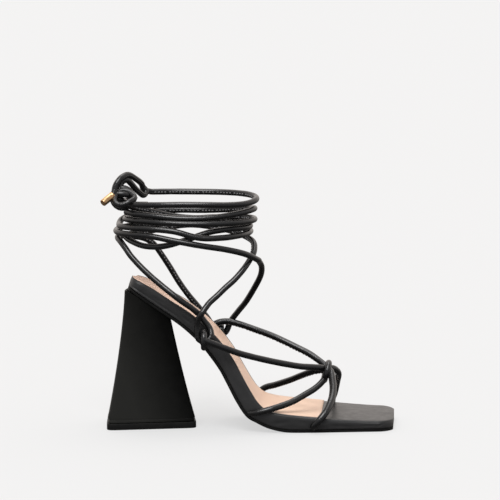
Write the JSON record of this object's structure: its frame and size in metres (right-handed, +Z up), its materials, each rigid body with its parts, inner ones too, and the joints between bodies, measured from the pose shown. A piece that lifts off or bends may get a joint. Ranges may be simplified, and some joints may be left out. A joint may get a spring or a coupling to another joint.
{
  "type": "heeled sandal",
  "caption": "Right-foot square-toe sandal with round cord straps, a toe knot, a wound ankle tie with metal tips and a flared block heel.",
  "frame": {"origin": "middle of the heel's base, on the floor", "axes": "+X along the foot to the toe, +Y to the inner side of the foot, +Z up"},
  "size_m": [0.2232, 0.0904, 0.1943],
  "materials": {
    "leather_black": "satin",
    "cord_black": "satin",
    "rubber_black": "matte",
    "sock_tan": "matte",
    "gold": "polished"
  },
  "bodies": {
    "root": {"outsole": "rubber_black", "midsole": "leather_black", "insole_sock": "sock_tan", "heel_block": "leather_black", "heel_tip": "rubber_black", "upper_straps": "cord_black", "ankle_tie": "cord_black", "tie_knot": "cord_black", "tie_loop": "cord_black", "tie_end": "cord_black", "aglet_outer": "gold", "aglet_inner": "gold"}
  },
  "joints": []
}
